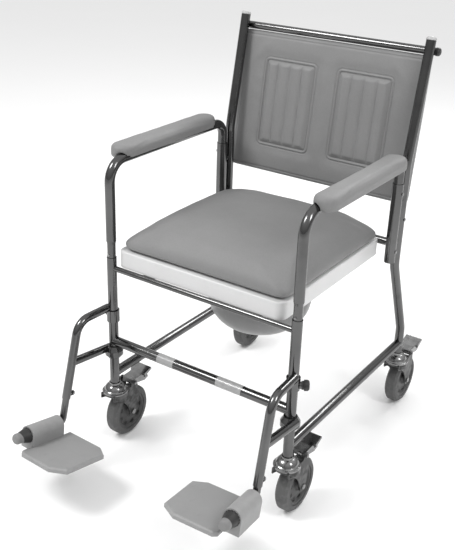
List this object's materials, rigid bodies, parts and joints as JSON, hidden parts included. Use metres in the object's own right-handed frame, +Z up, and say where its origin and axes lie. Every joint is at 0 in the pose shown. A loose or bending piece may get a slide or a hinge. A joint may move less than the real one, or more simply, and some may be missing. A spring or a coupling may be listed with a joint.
{
  "type": "commode chair",
  "caption": "Wheeled commode chair: chromed tube frame, padded back, seat cushion over a board with a round pan, lift-off arms, swing-away leg rests with flip-up plates, braked swivel casters",
  "frame": {"origin": "on the floor, in the middle of the footprint", "axes": "+X to the sitter's left, -Y forwards, +Z up"},
  "size_m": [0.568, 0.9505, 0.9531],
  "materials": {
    "chromed_tube": "polished chrome plate",
    "bright_fittings": "bright plated",
    "grey_cap_plastic": "moulded, slightly worn",
    "black_plastic": "moulded",
    "label_film": "blank wrapped film",
    "grey_vinyl": "coated upholstery cloth, wipe clean",
    "back_panel": "covered board",
    "white_plastic": "moulded, satin",
    "grey_pan_plastic": "moulded, satin",
    "rail_steel": "folded and plated",
    "light_grey_plastic": "moulded, fine grain",
    "dark_fork_steel": "dark plated pressing",
    "wheel_hub_plastic": "moulded",
    "caster_rubber": "grey rubber"
  },
  "bodies": {
    "frame": {"front_post_left": "chromed_tube", "front_post_right": "chromed_tube", "rear_post_left": "chromed_tube", "rear_post_right": "chromed_tube", "rear_post_caps": "grey_cap_plastic", "side_rails": "chromed_tube", "front_crossbar": "chromed_tube", "seat_front_bar": "chromed_tube", "seat_rear_bar": "chromed_tube", "label_bands": "label_film", "push_bar": "chromed_tube", "push_bar_caps": "black_plastic", "arm_sockets": "chromed_tube", "frame_rivets": "bright_fittings", "hanger_collars": "chromed_tube", "back_pad": "grey_vinyl", "back_board": "back_panel", "seat_board": "white_plastic", "bowl_rails": "rail_steel", "caster_heads": "bright_fittings"},
    "cushion": {"seat_cushion": "grey_vinyl"},
    "pan": {"bowl": "grey_pan_plastic"},
    "arm_left": {"arm_tube_left": "chromed_tube", "arm_pad_left": "grey_vinyl"},
    "button_left": {"arm_button_left": "bright_fittings"},
    "hanger_left": {"hanger_left": "chromed_tube", "height_bolt_left": "bright_fittings"},
    "knob_left": {"release_knob_left": "black_plastic"},
    "stem_left": {"footrest_stem_left": "chromed_tube"},
    "footplate_left": {"footplate_left": "light_grey_plastic", "pivot_plug_left": "black_plastic"},
    "arm_right": {"arm_tube_right": "chromed_tube", "arm_pad_right": "grey_vinyl"},
    "button_right": {"arm_button_right": "bright_fittings"},
    "hanger_right": {"hanger_right": "chromed_tube", "height_bolt_right": "bright_fittings"},
    "knob_right": {"release_knob_right": "black_plastic"},
    "stem_right": {"footrest_stem_right": "chromed_tube"},
    "footplate_right": {"footplate_right": "light_grey_plastic", "pivot_plug_right": "black_plastic"},
    "caster_front_left": {"caster_fork_front_left": "dark_fork_steel", "caster_axle_front_left": "bright_fittings"},
    "wheel_front_left": {"caster_wheel_front_left": "wheel_hub_plastic", "caster_tyre_front_left": "caster_rubber"},
    "pedal_front_left": {"brake_pedal_front_left": "bright_fittings"},
    "caster_front_right": {"caster_fork_front_right": "dark_fork_steel", "caster_axle_front_right": "bright_fittings"},
    "wheel_front_right": {"caster_wheel_front_right": "wheel_hub_plastic", "caster_tyre_front_right": "caster_rubber"},
    "pedal_front_right": {"brake_pedal_front_right": "bright_fittings"},
    "caster_rear_left": {"caster_fork_rear_left": "dark_fork_steel", "caster_axle_rear_left": "bright_fittings"},
    "wheel_rear_left": {"caster_wheel_rear_left": "wheel_hub_plastic", "caster_tyre_rear_left": "caster_rubber"},
    "pedal_rear_left": {"brake_pedal_rear_left": "bright_fittings"},
    "caster_rear_right": {"caster_fork_rear_right": "dark_fork_steel", "caster_axle_rear_right": "bright_fittings"},
    "wheel_rear_right": {"caster_wheel_rear_right": "wheel_hub_plastic", "caster_tyre_rear_right": "caster_rubber"},
    "pedal_rear_right": {"brake_pedal_rear_right": "bright_fittings"}
  },
  "joints": [
    {"name": "cushion_lift", "type": "slide", "parent": "frame", "child": "cushion", "axis": [0, 0, 1], "range_m": [0, 0.15]},
    {"name": "pan_slide", "type": "slide", "parent": "frame", "child": "pan", "axis": [0, 1, 0], "range_m": [0, 0.3]},
    {"name": "arm_lift_left", "type": "slide", "parent": "frame", "child": "arm_left", "axis": [0, 0, 1], "range_m": [0, 0.16]},
    {"name": "arm_button_press_left", "type": "slide", "parent": "arm_left", "child": "button_left", "axis": [0, 1, 0], "range_m": [0, 0.003], "stiffness_N_per_m": 500},
    {"name": "hanger_swing_left", "type": "hinge", "parent": "frame", "child": "hanger_left", "pos_m": [0.2375, -0.175, 0.3], "axis": [0, 0, 1], "range_deg": [0, 110]},
    {"name": "release_pull_left", "type": "slide", "parent": "hanger_left", "child": "knob_left", "axis": [0.829, 0.5592, 0], "range_m": [0, 0.006], "stiffness_N_per_m": 500},
    {"name": "footrest_height_left", "type": "slide", "parent": "hanger_left", "child": "stem_left", "axis": [0.0227, -0.2505, -0.9678], "range_m": [0, 0.09]},
    {"name": "footplate_flip_left", "type": "hinge", "parent": "stem_left", "child": "footplate_left", "pos_m": [0.25511, -0.32544, 0.15922], "axis": [-0.0878, 0.9832, -0.1599], "range_deg": [0, 85]},
    {"name": "arm_lift_right", "type": "slide", "parent": "frame", "child": "arm_right", "axis": [0, 0, 1], "range_m": [0, 0.16]},
    {"name": "arm_button_press_right", "type": "slide", "parent": "arm_right", "child": "button_right", "axis": [0, 1, 0], "range_m": [0, 0.003], "stiffness_N_per_m": 500},
    {"name": "hanger_swing_right", "type": "hinge", "parent": "frame", "child": "hanger_right", "pos_m": [-0.2375, -0.175, 0.3], "axis": [0, 0, -1], "range_deg": [0, 110]},
    {"name": "release_pull_right", "type": "slide", "parent": "hanger_right", "child": "knob_right", "axis": [-0.829, 0.5592, 0], "range_m": [0, 0.006], "stiffness_N_per_m": 500},
    {"name": "footrest_height_right", "type": "slide", "parent": "hanger_right", "child": "stem_right", "axis": [-0.0227, -0.2505, -0.9678], "range_m": [-0.036, 0.054]},
    {"name": "footplate_flip_right", "type": "hinge", "parent": "stem_right", "child": "footplate_right", "pos_m": [-0.25593, -0.33446, 0.12438], "axis": [-0.0878, -0.9832, 0.1599], "range_deg": [0, 85]},
    {"name": "caster_swivel_front_left", "type": "hinge", "parent": "frame", "child": "caster_front_left", "pos_m": [0.2375, -0.175, 0.132], "axis": [0, 0, 1], "continuous": true},
    {"name": "wheel_roll_front_left", "type": "hinge", "parent": "caster_front_left", "child": "wheel_front_left", "pos_m": [0.2375, -0.135, 0.0625], "axis": [1, 0, 0], "continuous": true},
    {"name": "brake_press_front_left", "type": "hinge", "parent": "caster_front_left", "child": "pedal_front_left", "pos_m": [0.2375, -0.128, 0.139], "axis": [-1, 0, 0], "range_deg": [0, 12]},
    {"name": "caster_swivel_front_right", "type": "hinge", "parent": "frame", "child": "caster_front_right", "pos_m": [-0.2375, -0.175, 0.132], "axis": [0, 0, 1], "continuous": true},
    {"name": "wheel_roll_front_right", "type": "hinge", "parent": "caster_front_right", "child": "wheel_front_right", "pos_m": [-0.2375, -0.135, 0.0625], "axis": [1, 0, 0], "continuous": true},
    {"name": "brake_press_front_right", "type": "hinge", "parent": "caster_front_right", "child": "pedal_front_right", "pos_m": [-0.2375, -0.128, 0.139], "axis": [-1, 0, 0], "range_deg": [0, 12]},
    {"name": "caster_swivel_rear_left", "type": "hinge", "parent": "frame", "child": "caster_rear_left", "pos_m": [0.2375, 0.366, 0.132], "axis": [0, 0, 1], "continuous": true},
    {"name": "wheel_roll_rear_left", "type": "hinge", "parent": "caster_rear_left", "child": "wheel_rear_left", "pos_m": [0.2375, 0.406, 0.0625], "axis": [1, 0, 0], "continuous": true},
    {"name": "brake_press_rear_left", "type": "hinge", "parent": "caster_rear_left", "child": "pedal_rear_left", "pos_m": [0.2375, 0.413, 0.139], "axis": [-1, 0, 0], "range_deg": [0, 12]},
    {"name": "caster_swivel_rear_right", "type": "hinge", "parent": "frame", "child": "caster_rear_right", "pos_m": [-0.2375, 0.366, 0.132], "axis": [0, 0, 1], "continuous": true},
    {"name": "wheel_roll_rear_right", "type": "hinge", "parent": "caster_rear_right", "child": "wheel_rear_right", "pos_m": [-0.2375, 0.406, 0.0625], "axis": [1, 0, 0], "continuous": true},
    {"name": "brake_press_rear_right", "type": "hinge", "parent": "caster_rear_right", "child": "pedal_rear_right", "pos_m": [-0.2375, 0.413, 0.139], "axis": [-1, 0, 0], "range_deg": [0, 12]}
  ]
}
